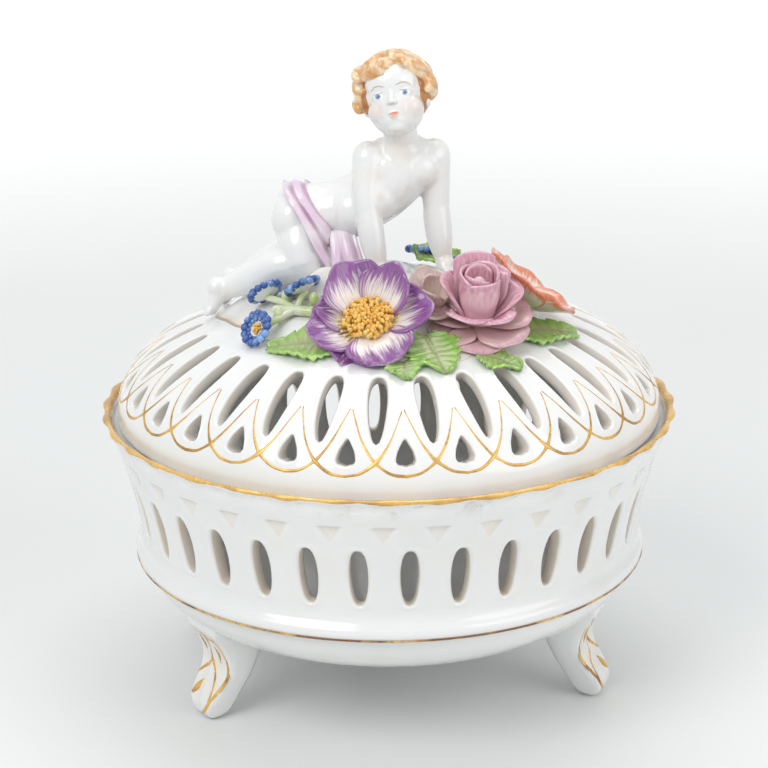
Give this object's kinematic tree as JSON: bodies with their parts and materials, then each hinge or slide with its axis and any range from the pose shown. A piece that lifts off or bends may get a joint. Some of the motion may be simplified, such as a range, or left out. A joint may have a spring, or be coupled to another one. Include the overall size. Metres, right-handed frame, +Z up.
{
  "type": "bonbonniere",
  "caption": "Footed round pierced porcelain sweet bowl with a lift-off pierced domed lid that carries a crawling putto among modelled flowers and leaves.",
  "frame": {"origin": "on the table under the centre of the bowl", "axes": "+Z up along the bowl's axis, -Y towards the front that the figure faces, +X to the right of the front view"},
  "size_m": [0.17, 0.17, 0.1908],
  "materials": {
    "white_glaze": "glossy glaze",
    "ground_glaze": "glossy glaze",
    "figure_glaze": "glossy glaze",
    "hair_paint": "glossy glaze",
    "drapery_paint": "glossy glaze",
    "anemone_paint": "glossy glaze",
    "stamen_paint": "glossy glaze",
    "rose_paint": "glossy glaze",
    "poppy_paint": "glossy glaze",
    "pale_petal_paint": "glossy glaze",
    "leaf_paint": "glossy glaze",
    "blue_flower_paint": "glossy glaze",
    "stem_paint": "glossy glaze"
  },
  "bodies": {
    "bowl": {"bowl": "white_glaze", "foot_front_left": "white_glaze", "foot_front_right": "white_glaze", "foot_back": "white_glaze"},
    "lid": {"lid": "white_glaze", "mound": "ground_glaze", "putto_torso": "figure_glaze", "putto_head": "figure_glaze", "putto_hair": "hair_paint", "putto_arm_right": "figure_glaze", "putto_arm_left": "figure_glaze", "putto_leg_right": "figure_glaze", "putto_leg_left": "figure_glaze", "drapery": "drapery_paint", "anemone_petals": "anemone_paint", "anemone_stamens": "stamen_paint", "rose": "rose_paint", "poppy_petals": "poppy_paint", "poppy_heart": "stamen_paint", "bud_flower": "pale_petal_paint", "leaf_left": "leaf_paint", "leaf_centre_left": "leaf_paint", "leaf_centre_right": "leaf_paint", "leaf_low": "leaf_paint", "leaf_right": "leaf_paint", "leaf_back": "leaf_paint", "forget_me_not_1": "blue_flower_paint", "forget_me_not_2": "blue_flower_paint", "forget_me_not_3": "blue_flower_paint", "forget_me_not_4": "blue_flower_paint", "forget_me_not_5": "blue_flower_paint", "stems": "stem_paint"}
  },
  "joints": [
    {"name": "lid_lift", "type": "slide", "parent": "bowl", "child": "lid", "axis": [0, 0, 1], "range_m": [0, 0.12]}
  ]
}
